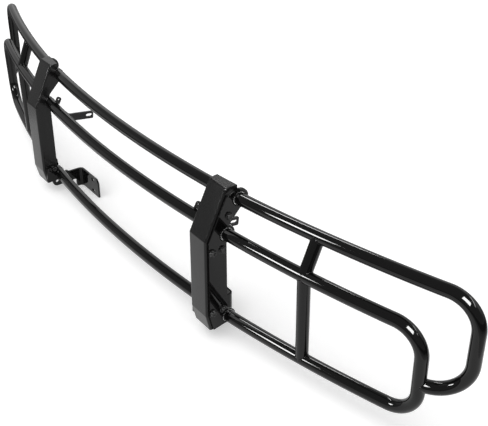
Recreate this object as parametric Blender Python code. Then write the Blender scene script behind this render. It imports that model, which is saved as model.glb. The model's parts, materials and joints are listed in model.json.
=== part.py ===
"""Front grille guard for a pickup: bowed tubes carried by two folded sheet uprights."""
import math

import bmesh
import bpy
from mathutils import Vector

# Sizes are in metres. X runs across the vehicle, the guard faces -Y and Z is up.
# The origin lies midway between the frame brackets, on their mounting faces.

# Tube stock and the fits between pieces
TUBE_OD = 0.0269
TUBE_WALL = 0.0026
GAP = 0.0003

# Where the tubes run, measured from the low tube's axis on the centre plane
ARC_RADIUS = 3.2
MID_HEIGHT = 0.2033
TOP_HEIGHT = 0.2749
MID_FORWARD = 0.0032
TOP_BACK = 0.0281
TUBE_TUCK = 0.010

# Wings: a closed loop in front and a hoop above and behind it
WING_LOW_RISE = 0.0254
WING_TOP_RISE = 0.0178
LOOP_END_X = 0.878
LOOP_BEND_RADIUS = 0.059
HOOP_END_X = 0.9486
HOOP_BEND_RADIUS = 0.061
HOOP_FOOT_HEIGHT = 0.0695
HOOP_RETURN_HEIGHT = 0.0894
HOOP_RETURN_RADIUS = 0.068
POST_X = 0.628

# Uprights: folded sheet with a front web, a cap and two side flanges
UPRIGHT_X = 0.361
UPRIGHT_WIDTH = 0.0587
SHEET = 0.004
SIDE_FOLD_RADIUS = 0.0045
WEB_FOLD_RADIUS = 0.007
WEB_FORWARD = 0.0438
CHIN_TOP = 0.013
CHIN_DROP = 0.025
CHIN_SETBACK = 0.009
KNEE_BELOW_MID = 0.0068
CAP_ABOVE_TOP = 0.0288
CAP_FRONT_SETBACK = 0.0508
CAP_DEPTH = 0.0205
FLANGE_REAR_FORWARD = 0.0035
FLANGE_FOOT_DROP = 0.020
REAR_STEP_ABOVE_MID = 0.0207

# Wing plates, bolted to the uprights' outer flanges
WING_PLATE = 0.005
WING_INSET = 0.006
WING_FOOT_DROP = 0.022
WING_TOP_RISE_OVER_TUBE = 0.011
TOP_LUG_RIM = 0.0087
MID_LUG_RIM = 0.0065
LOW_LUG_RIM = 0.0035
TOP_LUG_END_DEG = -85.0
MID_LUG_START_DEG = 73.0
MID_LUG_END_DEG = -90.0
LOW_LUG_START_DEG = 98.0
LOW_LUG_END_DEG = -110.0

# Fasteners, with the heads and nuts in thread diameters
WING_THREAD = 0.008
BRACKET_THREAD = 0.006
HOLE_CLEARANCE = 0.001
HEX_FLATS = 1.63
FLANGE_WIDTH = 2.1
FLANGE_HEIGHT = 0.18
HEAD_HEIGHT = 0.65
NUT_HEIGHT = 0.8
THREAD_PAST_NUT = 0.25
WING_BOLT_FRONT = 0.0379
WING_BOLT_REAR = 0.0132
WING_BOLT_LOW_RISE = 0.023
WING_BOLT_MID_DROP = 0.0323
WING_BOLT_TOP_FORWARD = 0.0098
WING_BOLT_TOP_RISE = 0.0049
BRACKET_BOLT_FRONT = 0.0280
BRACKET_BOLT_REAR = 0.014
BRACKET_BOLT_RISE = 0.015

# Frame brackets: a leg under the low tube, folded inboard to a slotted face
BRACKET_PLATE = 0.005
BRACKET_FOLD_RADIUS = 0.0125
BRACKET_SETBACK = 0.0885
BRACKET_INNER_X = 0.263
BRACKET_FACE_TOP = 0.0045
BRACKET_FACE_HEIGHT = 0.052
BRACKET_FACE_CHAMFER = 0.009
BRACKET_SLOT_X = 0.291
BRACKET_SLOT_SPACING = 0.0325
BRACKET_SLOT_LENGTH = 0.018
BRACKET_SLOT_WIDTH = 0.009
BRACKET_HEAD_FORWARD = 0.0375
BRACKET_HEAD_RISE = 0.025
BRACKET_NECK_BOTTOM = 0.033
BRACKET_NECK_LENGTH = 0.0465
BRACKET_EAR_FORWARD = 0.010
BRACKET_EAR_DROP = 0.0235
BRACKET_EAR_RADIUS = 0.013
BRACKET_EAR_HOLE = 0.009
EAR_START_DEG = -85.0
EAR_END_DEG = -190.0
BRACKET_CORNER = 0.005
BRACKET_TIP = 0.0087

# Support straps: flat bars from the middle tube back to a slotted end, cut square
STRAP_X = 0.331
STRAP_PLATE = 0.005
STRAP_WIDTH = 0.020
STRAP_ELBOW_BACK = 0.034
STRAP_ELBOW_DROP = 0.039
STRAP_END_BACK = 0.1064
STRAP_END_DROP = 0.0482
STRAP_END_CORNER = 0.003
STRAP_ELBOW_RADIUS = 0.016
STRAP_SLOT_LENGTH = 0.019
STRAP_SLOT_WIDTH = 0.008
STRAP_SLOT_EDGE = 0.0025

# Small pierced tabs that stand on the middle tube beside the straps
TAB_X = 0.3235
TAB_PLATE = 0.004
TAB_WIDTH = 0.013
TAB_REACH = 0.017
TAB_CORNER = 0.005
TAB_HOLE = 0.0045
TAB_HOLE_SETBACK = 0.0065
TAB_LEAN_DEG = 60.0

# How finely round shapes are divided
TUBE_SIDES = 12
CUTTER_SIDES = 18
BOLT_SIDES = 12
FOLD_STEPS = 3
BEND_STEPS = 5
BEND_LEAD = 1.2
ARC_STEPS = 5
LUG_STEPS = 10
SMOOTH_ANGLE = math.radians(40)
CUTTER_STEPS = 3
END_ROOM = 0.98
MIDDLE_ROOM = 0.49

# Colour, roughness and metallic value of each finish
SATIN_BLACK = ((0.020, 0.020, 0.021, 1.0), 0.38, 0.0)
GLOSS_BLACK = ((0.010, 0.010, 0.011, 1.0), 0.14, 0.0)
BLACK_ZINC = ((0.045, 0.045, 0.047, 1.0), 0.30, 0.8)

TUBE_RADIUS = TUBE_OD / 2
UPRIGHT_OUTER_X = UPRIGHT_X + UPRIGHT_WIDTH
WING_PLATE_X = UPRIGHT_OUTER_X + GAP
WING_FACE_X = WING_PLATE_X + WING_PLATE
BRACKET_LEG_X = UPRIGHT_X - GAP - BRACKET_PLATE
FACE_BOTTOM = -BRACKET_FACE_TOP - BRACKET_FACE_HEIGHT
FACE_MIDDLE = -BRACKET_FACE_TOP - BRACKET_FACE_HEIGHT / 2
BLANK = 0.3
REARWARD = Vector((0.0, 1.0, 0.0))
SIDE_VIEW = Vector((1.0, 0.0, 0.0))
PLAN_VIEW = Vector((0.0, 0.0, 1.0))


def arc_back(x):
    """How far behind the centre the bowed tubes lie at x."""
    return ARC_RADIUS - math.sqrt(ARC_RADIUS ** 2 - x ** 2)


def low_axis(x):
    return Vector((x, arc_back(x), WING_LOW_RISE * max(x - WING_FACE_X, 0.0)))


def mid_axis(x):
    return Vector((x, arc_back(x) - MID_FORWARD, MID_HEIGHT))


def top_axis(x):
    rise = WING_TOP_RISE * max(x - WING_FACE_X, 0.0)
    return Vector((x, arc_back(x) + TOP_BACK, TOP_HEIGHT + rise))


def side_point(y, z):
    """A point of an outline drawn on the guard's side view."""
    return Vector((0.0, y, z))


def rounded(points, radius, steps):
    """The path with its inner corners turned into arcs, tightened where an edge is too short."""
    path = [points[0]]
    for index in range(1, len(points) - 1):
        corner = points[index]
        back = points[index - 1] - corner
        ahead = points[index + 1] - corner
        half = back.angle(ahead) / 2
        room_back = back.length * (END_ROOM if index == 1 else MIDDLE_ROOM)
        room_ahead = ahead.length * (END_ROOM if index == len(points) - 2 else MIDDLE_ROOM)
        lead = min(radius / math.tan(half), room_back, room_ahead)
        bend = lead * math.tan(half)
        start = corner + back.normalized() * lead
        end = corner + ahead.normalized() * lead
        toward = (back.normalized() + ahead.normalized()).normalized()
        centre = corner + toward * (bend / math.sin(half))
        for step in range(steps + 1):
            spoke = (start - centre).slerp(end - centre, step / steps)
            path.append(centre + spoke * bend)
    path.append(points[-1])
    return path


def inset_path(points, distance, view=SIDE_VIEW):
    """A flat path moved to its right-hand side as seen from the view, with mitred corners."""
    edges = [(b - a).normalized() for a, b in zip(points, points[1:])]
    normals = [edge.cross(view) for edge in edges]
    moved = [points[0] + normals[0] * distance]
    for point, before, after in zip(points[1:], normals, normals[1:]):
        mitre = (before + after).normalized()
        moved.append(point + mitre * (distance / mitre.dot(after)))
    moved.append(points[-1] + normals[-1] * distance)
    return moved


def arc_points(centre, radius, start_deg, end_deg, steps):
    """Points on a side-view arc, with 0 degrees to the rear and 90 degrees up."""
    points = []
    for step in range(steps + 1):
        angle = math.radians(start_deg + (end_deg - start_deg) * step / steps)
        points.append(centre + side_point(radius * math.cos(angle), radius * math.sin(angle)))
    return points


def slot_outline(centre, along, length, width, steps):
    """A slot with round ends, its length lying along a unit vector in the side view."""
    radius = width / 2
    turn = math.degrees(math.atan2(along.z, along.y))
    reach = along * (length / 2 - radius)
    rear = arc_points(centre + reach, radius, turn - 90, turn + 90, steps)
    front = arc_points(centre - reach, radius, turn + 90, turn + 270, steps)
    return rear + front


def bar_outline(line, width, corner):
    """The outline of a flat bar along a side-view line: a round head, and a tail cut square."""
    half = width / 2
    first = line[1] - line[0]
    head_turn = math.degrees(math.atan2(first.z, first.y))
    below, above = inset_path(line, half), inset_path(line, -half)[::-1]
    tail = rounded([below[-2], below[-1], above[0], above[1]], corner, FOLD_STEPS)
    head = arc_points(line[0], half, head_turn + 90, head_turn + 270, LUG_STEPS)
    return below[1:-1] + tail[1:-1] + above[1:-1] + head


def finished(bm):
    """Turn a bmesh into a mesh with its faces pointing out."""
    bmesh.ops.recalc_face_normals(bm, faces=bm.faces)
    mesh = bpy.data.meshes.new("piece")
    bm.to_mesh(mesh)
    bm.free()
    return mesh


def add_loop(bm, points):
    """Add a closed loop of vertices and edges to the bmesh."""
    verts = [bm.verts.new(point) for point in points]
    return [bm.edges.new((a, b)) for a, b in zip(verts, verts[1:] + verts[:1])]


def plate(outlines, start, push):
    """A flat plate: outlines and holes filled at start, then thickened along push."""
    bm = bmesh.new()
    edges = []
    for outline in outlines:
        edges += add_loop(bm, [point + start for point in outline])
    bmesh.ops.triangle_fill(bm, use_beauty=True, edges=edges)
    grown = bmesh.ops.extrude_face_region(bm, geom=bm.faces[:])
    moved = [item for item in grown["geom"] if isinstance(item, bmesh.types.BMVert)]
    bmesh.ops.translate(bm, verts=moved, vec=push)
    return finished(bm)


def side_plate(outlines, start_x, thickness):
    """A plate drawn on the side view, thickened towards +X."""
    return plate(outlines, Vector((start_x, 0.0, 0.0)), Vector((thickness, 0.0, 0.0)))


def ring_frames(path):
    """Two directions square to the path at each of its points, carried along without twist."""
    tangents = []
    for index in range(len(path)):
        before = path[max(index - 1, 0)]
        after = path[min(index + 1, len(path) - 1)]
        tangents.append((after - before).normalized())
    across = tangents[0].orthogonal().normalized()
    frames = []
    for tangent in tangents:
        across = (across - tangent * across.dot(tangent)).normalized()
        frames.append((across, tangent.cross(across)))
    return frames


def tube_rings(bm, path, radius, sides):
    """Rings of vertices along the path."""
    rings = []
    for point, (across, over) in zip(path, ring_frames(path)):
        angles = [2 * math.pi * side / sides for side in range(sides)]
        offsets = [across * math.cos(a) + over * math.sin(a) for a in angles]
        rings.append([bm.verts.new(point + offset * radius) for offset in offsets])
    return rings


def skin(bm, rings):
    """Faces between each ring and the next."""
    for first, second in zip(rings, rings[1:]):
        for a, b, c, d in zip(first, first[1:] + first[:1], second[1:] + second[:1], second):
            bm.faces.new((a, b, c, d))


def solid_tube(path, radius, sides):
    bm = bmesh.new()
    rings = tube_rings(bm, path, radius, sides)
    skin(bm, rings)
    bm.faces.new(rings[0])
    bm.faces.new(rings[-1])
    return finished(bm)


def hollow_tube(path):
    """A length of tube stock, open at both ends."""
    bm = bmesh.new()
    outer = tube_rings(bm, path, TUBE_RADIUS, TUBE_SIDES)
    inner = tube_rings(bm, path, TUBE_RADIUS - TUBE_WALL, TUBE_SIDES)
    skin(bm, outer)
    skin(bm, inner)
    skin(bm, [outer[0], inner[0]])
    skin(bm, [outer[-1], inner[-1]])
    return finished(bm)


def tube_cutter(path):
    """A solid that clears tube stock on this path by the fitting gap all round."""
    radius = (TUBE_RADIUS + GAP) / math.cos(math.pi / CUTTER_SIDES)
    return solid_tube(path, radius, CUTTER_SIDES)


def hole_cutter(spot, diameter):
    """A round cutter along X, centred on a spot."""
    reach = Vector((WING_PLATE + SHEET + BRACKET_PLATE, 0.0, 0.0))
    return solid_tube([spot - reach, spot + reach], diameter / 2, BOLT_SIDES)


def joined(meshes):
    """One mesh holding all of these."""
    bm = bmesh.new()
    for mesh in meshes:
        bm.from_mesh(mesh)
    return finished(bm)


def combined(mesh, other, operation):
    """The Boolean of two meshes, as a new mesh."""
    body = bpy.data.objects.new("body", mesh)
    tool = bpy.data.objects.new("tool", other)
    for item in (body, tool):
        bpy.context.scene.collection.objects.link(item)
    boolean = body.modifiers.new("Boolean", "BOOLEAN")
    boolean.object = tool
    boolean.operation = operation
    boolean.solver = "EXACT"
    graph = bpy.context.evaluated_depsgraph_get()
    result = bpy.data.meshes.new_from_object(body.evaluated_get(graph))
    for item in (body, tool):
        bpy.data.objects.remove(item)
    return result


def mirrored(mesh):
    """The left-hand copy of a right-hand mesh."""
    bm = bmesh.new()
    bm.from_mesh(mesh)
    for vert in bm.verts:
        vert.co.x = -vert.co.x
    bmesh.ops.reverse_faces(bm, faces=bm.faces)
    copy = bpy.data.meshes.new("piece")
    bm.to_mesh(copy)
    bm.free()
    return copy


def paint(name, finish):
    colour, roughness, metallic = finish
    material = bpy.data.materials.new(name)
    material.use_nodes = True
    shader = material.node_tree.nodes["Principled BSDF"]
    shader.inputs["Base Color"].default_value = colour
    shader.inputs["Roughness"].default_value = roughness
    shader.inputs["Metallic"].default_value = metallic
    return material


def add_piece(name, mesh, origin, finish, parent):
    """Add a mesh drawn in the guard's frame as an object with its own origin and material."""
    bm = bmesh.new()
    bm.from_mesh(mesh)
    bmesh.ops.translate(bm, verts=bm.verts, vec=-origin)
    bm.to_mesh(mesh)
    bm.free()
    mesh.name = name
    mesh.shade_smooth()
    mesh.set_sharp_from_angle(angle=SMOOTH_ANGLE)
    mesh.materials.clear()
    mesh.materials.append(paint(name, finish))
    piece = bpy.data.objects.new(name, mesh)
    piece.location = origin
    piece.parent = parent
    bpy.context.scene.collection.objects.link(piece)
    return piece


def add_pair(stem, mesh, origin, finish, parent):
    """Add a piece of the right-hand side and its mirror image on the left."""
    copy = mirrored(mesh)
    add_piece(stem + "_right", mesh, origin, finish, parent)
    add_piece(stem + "_left", copy, Vector((-origin.x, origin.y, origin.z)), finish, parent)


def arc_run(axis, start_x, end_x, steps):
    """Points along one of the bowed tubes' axes."""
    spread = [start_x + (end_x - start_x) * step / steps for step in range(steps + 1)]
    return [axis(x) for x in spread]


def centre_tube(axis):
    """A tube from one upright to the other, its ends tucked inside their inner flanges."""
    end_x = UPRIGHT_X + SHEET + TUBE_TUCK
    return hollow_tube(arc_run(axis, -end_x, end_x, ARC_STEPS + ARC_STEPS // 2))


def wing_start_x():
    """Where the wing tubes end inside the upright."""
    return UPRIGHT_OUTER_X - SHEET - TUBE_TUCK


def wing_run(axis, end_x, bend_radius):
    """A wing tube's bowed part, from inside the upright to where its end bend begins."""
    flat = [axis(wing_start_x()), axis(WING_FACE_X)]
    bowed = arc_run(axis, WING_FACE_X, end_x - BEND_LEAD * bend_radius, ARC_STEPS)
    return flat + bowed[1:]


def loop_path():
    """The front loop of a wing: out along the middle, down the end and back along the bottom."""
    out = wing_run(mid_axis, LOOP_END_X, LOOP_BEND_RADIUS)
    back = wing_run(low_axis, LOOP_END_X, LOOP_BEND_RADIUS)
    back.reverse()
    corners = [out[-1], mid_axis(LOOP_END_X), low_axis(LOOP_END_X), back[0]]
    return out[:-1] + rounded(corners, LOOP_BEND_RADIUS, BEND_STEPS) + back[1:]


def loop_end(height):
    """The point on the loop's end tube at this height."""
    top, bottom = mid_axis(LOOP_END_X), low_axis(LOOP_END_X)
    return bottom.lerp(top, (height - bottom.z) / (top.z - bottom.z))


def hoop_path():
    """The hoop of a wing: out along the top, down the end and forward to the loop."""
    out = wing_run(top_axis, HOOP_END_X, HOOP_BEND_RADIUS)
    corner = top_axis(HOOP_END_X)
    foot = Vector((corner.x, corner.y, HOOP_FOOT_HEIGHT))
    waist = corner.lerp(foot, 0.5)
    upper = rounded([out[-1], corner, waist], HOOP_BEND_RADIUS, BEND_STEPS)
    lower = rounded([waist, foot, loop_end(HOOP_RETURN_HEIGHT)], HOOP_RETURN_RADIUS, BEND_STEPS)
    return out[:-1] + upper[:-1] + lower[1:]


def wing_hoop():
    """The hoop with its end coped to the loop's end tube."""
    above = loop_end(HOOP_RETURN_HEIGHT + TUBE_OD)
    below = loop_end(HOOP_RETURN_HEIGHT - TUBE_OD)
    cope = tube_cutter([below, above])
    return combined(hollow_tube(hoop_path()), cope, "DIFFERENCE")


def wing_post(upper_axis, lower_axis):
    """A short tube between two wing tubes, coped to both."""
    post = hollow_tube([upper_axis(POST_X), lower_axis(POST_X)])
    copes = []
    for axis in (upper_axis, lower_axis):
        copes.append(tube_cutter(arc_run(axis, POST_X - TUBE_OD, POST_X + TUBE_OD, CUTTER_STEPS)))
    return combined(post, joined(copes), "DIFFERENCE")


def web_profile():
    """The upright's front line in the side view, from the chin up and back over the cap."""
    front = arc_back(UPRIGHT_X) - WEB_FORWARD
    cap_height = TOP_HEIGHT + CAP_ABOVE_TOP
    return [
        side_point(front + CHIN_SETBACK, -CHIN_DROP),
        side_point(front, CHIN_TOP),
        side_point(front, MID_HEIGHT - KNEE_BELOW_MID),
        side_point(front + CAP_FRONT_SETBACK, cap_height),
        side_point(front + CAP_FRONT_SETBACK + CAP_DEPTH, cap_height),
    ]


def wing_bolt_spots():
    """Where the wing plate is bolted on, at the upright's outer flange."""
    low = low_axis(WING_FACE_X)
    mid = mid_axis(WING_FACE_X)
    top = top_axis(WING_FACE_X)
    pair_heights = {"low": low.z + WING_BOLT_LOW_RISE, "mid": mid.z - WING_BOLT_MID_DROP}
    spots = {}
    for row, height in pair_heights.items():
        spots[row + "_front"] = Vector((UPRIGHT_OUTER_X, low.y - WING_BOLT_FRONT, height))
        spots[row + "_rear"] = Vector((UPRIGHT_OUTER_X, low.y - WING_BOLT_REAR, height))
    between = mid.lerp(top, 0.5)
    top_spot = (UPRIGHT_OUTER_X, between.y - WING_BOLT_TOP_FORWARD, between.z + WING_BOLT_TOP_RISE)
    spots["top"] = Vector(top_spot)
    return spots


def bracket_bolt_spots():
    """Where the frame bracket is bolted on, at the upright's inner flange."""
    low = low_axis(UPRIGHT_X)
    height = low.z + BRACKET_BOLT_RISE
    return {
        "front": Vector((UPRIGHT_X, low.y - BRACKET_BOLT_FRONT, height)),
        "rear": Vector((UPRIGHT_X, low.y - BRACKET_BOLT_REAR, height)),
    }


def outer_drill():
    """Everything that passes through the outer flange and the wing plate."""
    reach = WING_PLATE + 2 * SHEET + TUBE_TUCK
    cutters = []
    for axis in (low_axis, mid_axis, top_axis):
        passage = arc_run(axis, UPRIGHT_OUTER_X - reach, WING_FACE_X + reach, CUTTER_STEPS)
        cutters.append(tube_cutter(passage))
    for spot in wing_bolt_spots().values():
        cutters.append(hole_cutter(spot, WING_THREAD + HOLE_CLEARANCE))
    return joined(cutters)


def inner_drill():
    """Everything that passes through the inner flange and the frame bracket's leg."""
    reach = BRACKET_PLATE + 2 * SHEET + TUBE_TUCK
    cutters = []
    for axis in (low_axis, mid_axis, top_axis):
        passage = arc_run(axis, UPRIGHT_X - reach, UPRIGHT_X + reach, CUTTER_STEPS)
        cutters.append(tube_cutter(passage))
    for spot in bracket_bolt_spots().values():
        cutters.append(hole_cutter(spot, BRACKET_THREAD + HOLE_CLEARANCE))
    return joined(cutters)


def upright_block():
    """The upright as a solid block, its front corners rounded below the cap."""
    front = web_profile()
    folded = rounded(front, WEB_FOLD_RADIUS, FOLD_STEPS)
    rear_y = arc_back(UPRIGHT_X) - FLANGE_REAR_FORWARD
    step_z = MID_HEIGHT + REAR_STEP_ABOVE_MID
    rear = [
        side_point(front[-1].y, step_z + front[-1].y - rear_y),
        side_point(rear_y, step_z),
        side_point(rear_y, -FLANGE_FOOT_DROP),
    ]
    swing = side_point(arc_back(UPRIGHT_OUTER_X) - arc_back(UPRIGHT_X), 0.0)
    outline_inner = folded + rear
    outline_outer = folded[:-1] + [point + swing for point in folded[-1:] + rear]
    bm = bmesh.new()
    rings = []
    for x, outline in ((UPRIGHT_X, outline_inner), (UPRIGHT_OUTER_X, outline_outer)):
        rings.append([bm.verts.new(point + Vector((x, 0.0, 0.0))) for point in outline])
        bm.faces.new(rings[-1])
    skin(bm, rings)
    folds = []
    for ring in rings:
        for a, b in zip(ring, ring[1:len(folded) - 1]):
            folds.append(bm.edges.get((a, b)))
    bmesh.ops.recalc_face_normals(bm, faces=bm.faces)
    bmesh.ops.bevel(bm, geom=folds, offset=SIDE_FOLD_RADIUS, segments=FOLD_STEPS, profile=0.5,
                    affect="EDGES")
    return finished(bm)


def upright_hollow():
    """The space inside the folded sheet, open to the rear and below."""
    inner = inset_path(web_profile(), SHEET)
    below = (inner[0] - inner[1]).normalized() * CHIN_DROP
    behind = side_point(BLANK, 0.0)
    folded = rounded(inner, WEB_FOLD_RADIUS - SHEET, FOLD_STEPS)
    outline = [inner[0] + below] + folded[1:] + [inner[-1] + behind, inner[0] + below + behind]
    return side_plate([outline], UPRIGHT_X + SHEET, UPRIGHT_WIDTH - 2 * SHEET)


def upright(inner_holes, outer_holes):
    """The folded sheet upright, notched for the tubes and drilled for its bolts."""
    shell = combined(upright_block(), upright_hollow(), "DIFFERENCE")
    notched = combined(shell, inner_holes, "DIFFERENCE")
    return combined(notched, outer_holes, "DIFFERENCE")


def tangent_angle(point, centre, radius):
    """Where a line from the point touches the upper side of a circle, in degrees on the circle."""
    toward = point - centre
    lean = math.acos(radius / toward.length)
    return math.degrees(math.atan2(toward.z, toward.y) - lean)


def wing_plate(holes):
    """The plate that carries a wing: a front edge along the upright and a lug on each tube."""
    low = side_point(*low_axis(WING_FACE_X).yz)
    mid = side_point(*mid_axis(WING_FACE_X).yz)
    top = side_point(*top_axis(WING_FACE_X).yz)
    chin, chin_top, knee, brow = inset_path(web_profile()[:4], WING_INSET)
    foot = chin.lerp(chin_top, (-WING_FOOT_DROP - chin.z) / (chin_top.z - chin.z))
    peak_height = top.z + WING_TOP_RISE_OVER_TUBE
    peak = knee.lerp(brow, (peak_height - knee.z) / (brow.z - knee.z))
    front = rounded([foot, chin_top, knee, peak], WEB_FOLD_RADIUS, FOLD_STEPS)
    crown = tangent_angle(peak, top, TUBE_RADIUS + TOP_LUG_RIM)
    lugs = arc_points(top, TUBE_RADIUS + TOP_LUG_RIM, crown, TOP_LUG_END_DEG, LUG_STEPS)
    lugs += arc_points(mid, TUBE_RADIUS + MID_LUG_RIM, MID_LUG_START_DEG, MID_LUG_END_DEG, LUG_STEPS)
    lugs += arc_points(low, TUBE_RADIUS + LOW_LUG_RIM, LOW_LUG_START_DEG, LOW_LUG_END_DEG, LUG_STEPS)
    blank = side_plate([front + lugs], WING_PLATE_X, WING_PLATE)
    return combined(blank, holes, "DIFFERENCE")


def bracket_leg_outline():
    """The bracket's side view: a head on the flange, an ear below it and a neck to the rear."""
    axis_y = low_axis(UPRIGHT_X).y
    front = axis_y - BRACKET_HEAD_FORWARD
    head_rear = axis_y - BRACKET_BOLT_REAR + BRACKET_THREAD
    tip = axis_y + TUBE_RADIUS + BRACKET_TIP
    neck_end = axis_y + BRACKET_NECK_LENGTH
    past_face = BRACKET_SETBACK + BRACKET_PLATE
    ear = side_point(axis_y - BRACKET_EAR_FORWARD, -BRACKET_EAR_DROP)
    head = [
        side_point(front, ear.z + BRACKET_EAR_RADIUS),
        side_point(front, BRACKET_HEAD_RISE),
        side_point(head_rear, BRACKET_HEAD_RISE),
        side_point(head_rear, 0.0),
    ]
    neck = [
        side_point(tip, 0.0),
        side_point(tip + BRACKET_FACE_TOP, -BRACKET_FACE_TOP),
        side_point(past_face, -BRACKET_FACE_TOP),
        side_point(past_face, FACE_BOTTOM),
    ]
    underside = [
        side_point(past_face, FACE_BOTTOM),
        side_point(neck_end, FACE_BOTTOM),
        side_point(neck_end, -BRACKET_NECK_BOTTOM),
        ear + side_point(0.0, -BRACKET_EAR_RADIUS),
    ]
    outline = rounded(head, BRACKET_CORNER, FOLD_STEPS) + neck
    outline += rounded(underside, BRACKET_CORNER, FOLD_STEPS)[1:-1]
    outline += arc_points(ear, BRACKET_EAR_RADIUS, EAR_START_DEG, EAR_END_DEG, LUG_STEPS)
    hole = arc_points(ear, BRACKET_EAR_HOLE / 2, 0.0, 360.0, BOLT_SIDES)[1:]
    return [outline, hole]


def bracket_face_outline():
    """The bracket's front view: the slotted face, and room for the leg beside it."""
    top = -BRACKET_FACE_TOP
    cut = BRACKET_FACE_CHAMFER
    corners = [
        (BRACKET_INNER_X, FACE_BOTTOM),
        (BRACKET_INNER_X, top - cut),
        (BRACKET_INNER_X + cut, top),
        (BRACKET_INNER_X + cut, BLANK),
        (UPRIGHT_X, BLANK),
        (UPRIGHT_X, -BLANK),
        (BRACKET_INNER_X, -BLANK),
    ]
    outlines = [[Vector((x, 0.0, z)) for x, z in corners]]
    for row in (-0.5, 0.5):
        middle = side_point(BRACKET_SLOT_X, FACE_MIDDLE + row * BRACKET_SLOT_SPACING)
        slot = slot_outline(middle, REARWARD, BRACKET_SLOT_LENGTH, BRACKET_SLOT_WIDTH, FOLD_STEPS)
        outlines.append([Vector((point.y, 0.0, point.z)) for point in slot])
    return outlines


def frame_bracket(holes):
    """A strip folded to an L, then trimmed to its side view and its front view."""
    half = BRACKET_PLATE / 2
    leg_x = BRACKET_LEG_X + half
    face_y = BRACKET_SETBACK - half
    line = [
        Vector((leg_x, -BLANK, 0.0)),
        Vector((leg_x, face_y, 0.0)),
        Vector((BRACKET_INNER_X - BRACKET_PLATE, face_y, 0.0)),
    ]
    line = rounded(line, BRACKET_FOLD_RADIUS - half, BEND_STEPS)
    section = inset_path(line, half, PLAN_VIEW) + inset_path(line, -half, PLAN_VIEW)[::-1]
    middle = Vector((0.0, 0.0, BLANK / 2))
    strip = plate([section], -middle, 2 * middle)
    side = side_plate(bracket_leg_outline(), BRACKET_INNER_X / 2, BRACKET_INNER_X)
    face = plate(bracket_face_outline(), Vector((0.0, -BLANK, 0.0)), Vector((0.0, 2 * BLANK, 0.0)))
    trimmed = combined(combined(strip, side, "INTERSECT"), face, "INTERSECT")
    return combined(trimmed, holes, "DIFFERENCE")


def support_strap():
    """A cranked flat bar, saddled to the back of the middle tube and slotted at its rear end."""
    tube = side_point(*mid_axis(STRAP_X).yz)
    elbow = tube + side_point(STRAP_ELBOW_BACK, -STRAP_ELBOW_DROP)
    end = tube + side_point(STRAP_END_BACK, -STRAP_END_DROP)
    line = rounded([tube, elbow, end], STRAP_ELBOW_RADIUS, FOLD_STEPS)
    along = (end - elbow).normalized()
    slot_middle = end - along * (STRAP_SLOT_EDGE + STRAP_SLOT_LENGTH / 2)
    slot = slot_outline(slot_middle, along, STRAP_SLOT_LENGTH, STRAP_SLOT_WIDTH, FOLD_STEPS)
    outline = bar_outline(line, STRAP_WIDTH, STRAP_END_CORNER)
    bar = side_plate([outline, slot], STRAP_X - STRAP_PLATE / 2, STRAP_PLATE)
    saddle = tube_cutter(arc_run(mid_axis, STRAP_X - TUBE_OD, STRAP_X + TUBE_OD, CUTTER_STEPS))
    return combined(bar, saddle, "DIFFERENCE")


def tube_tab():
    """A small tab with a hole, standing on the upper rear of the middle tube."""
    tube = side_point(*mid_axis(TAB_X).yz)
    lean = math.radians(TAB_LEAN_DEG)
    along = side_point(math.cos(lean), math.sin(lean))
    tip = tube + along * (TUBE_RADIUS + TAB_REACH)
    hole = arc_points(tip - along * TAB_HOLE_SETBACK, TAB_HOLE / 2, 0.0, 360.0, BOLT_SIDES)[1:]
    outline = bar_outline([tube, tip], TAB_WIDTH, TAB_CORNER)
    tab = side_plate([outline, hole], TAB_X - TAB_PLATE / 2, TAB_PLATE)
    saddle = tube_cutter(arc_run(mid_axis, TAB_X - TUBE_OD, TAB_X + TUBE_OD, CUTTER_STEPS))
    return combined(tab, saddle, "DIFFERENCE")


def bolt_ring(bm, spot, x, width, hexagonal):
    """A ring of vertices round a bolt's axis; a hexagon's width is taken across its flats."""
    ring = []
    for side in range(BOLT_SIDES):
        angle = 2 * math.pi * side / BOLT_SIDES
        reach = width / 2
        if hexagonal:
            reach /= math.cos(angle % (math.pi / 3) - math.pi / 6)
        ring.append(bm.verts.new((x, spot.y + reach * math.cos(angle), spot.z + reach * math.sin(angle))))
    return ring


def bolt(spot, thread, head_x, nut_x):
    """A flanged hexagon bolt whose head seats at head_x and whose nut seats at nut_x."""
    out = math.copysign(1.0, head_x - nut_x)
    tip_x = nut_x - out * (NUT_HEIGHT + THREAD_PAST_NUT) * thread
    flange_x = head_x + out * FLANGE_HEIGHT * thread
    crown_x = head_x + out * HEAD_HEIGHT * thread
    bm = bmesh.new()
    rings = [
        bolt_ring(bm, spot, tip_x, thread, False),
        bolt_ring(bm, spot, head_x, thread, False),
        bolt_ring(bm, spot, head_x, FLANGE_WIDTH * thread, False),
        bolt_ring(bm, spot, flange_x, FLANGE_WIDTH * thread, False),
        bolt_ring(bm, spot, flange_x, HEX_FLATS * thread, True),
        bolt_ring(bm, spot, crown_x, HEX_FLATS * thread, True),
    ]
    skin(bm, rings)
    bm.faces.new(rings[0])
    bm.faces.new(rings[-1])
    return finished(bm)


def nut(spot, thread, head_x, nut_x):
    """A plain hexagon nut seated at nut_x, on a bolt whose head seats at head_x."""
    out = math.copysign(1.0, head_x - nut_x)
    far_x = nut_x - out * NUT_HEIGHT * thread
    bore = thread + 2 * GAP
    bm = bmesh.new()
    rings = [
        bolt_ring(bm, spot, nut_x, bore, False),
        bolt_ring(bm, spot, nut_x, HEX_FLATS * thread, True),
        bolt_ring(bm, spot, far_x, HEX_FLATS * thread, True),
        bolt_ring(bm, spot, far_x, bore, False),
    ]
    skin(bm, rings + rings[:1])
    return finished(bm)


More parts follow.
